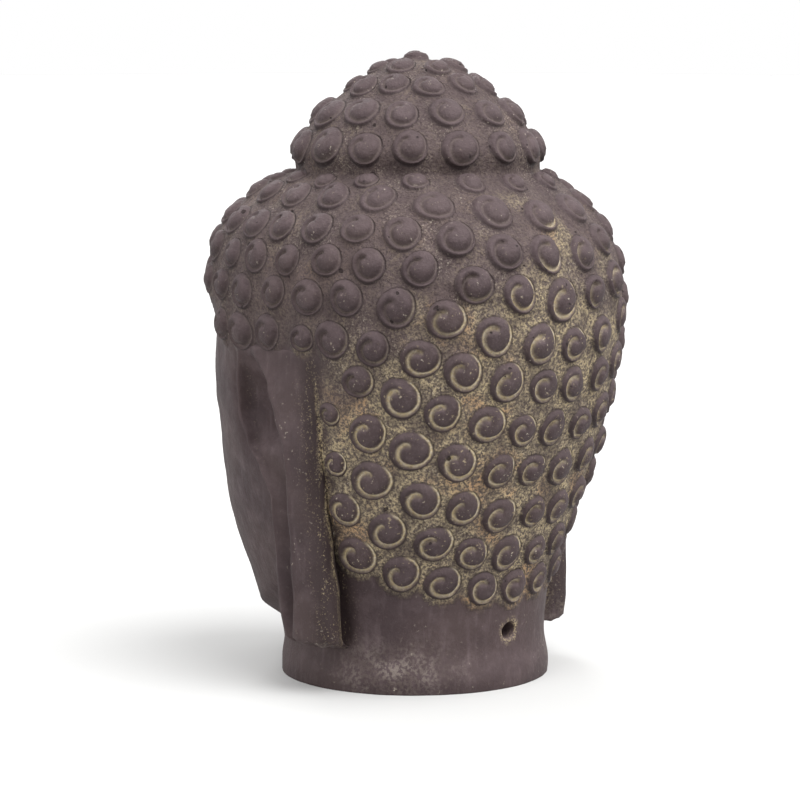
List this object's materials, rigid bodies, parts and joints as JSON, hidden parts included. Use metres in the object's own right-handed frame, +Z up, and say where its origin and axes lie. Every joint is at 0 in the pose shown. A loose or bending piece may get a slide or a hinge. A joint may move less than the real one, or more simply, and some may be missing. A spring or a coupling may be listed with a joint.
{
  "type": "buddha head garden statue",
  "caption": "Terracotta garden head on a round neck, with snail-shell curls, a domed topknot, long hanging ears and a calm face.",
  "frame": {"origin": "centre of the neck's flat underside", "axes": "+Z up through the topknot, the face looks along -Y, the head's left ear is towards +X"},
  "size_m": [0.2543, 0.2904, 0.3978],
  "materials": {
    "terracotta": "matte, weathered, with ochre clay left in the grooves"
  },
  "bodies": {
    "root": {"buddha_head": "terracotta"}
  },
  "joints": []
}
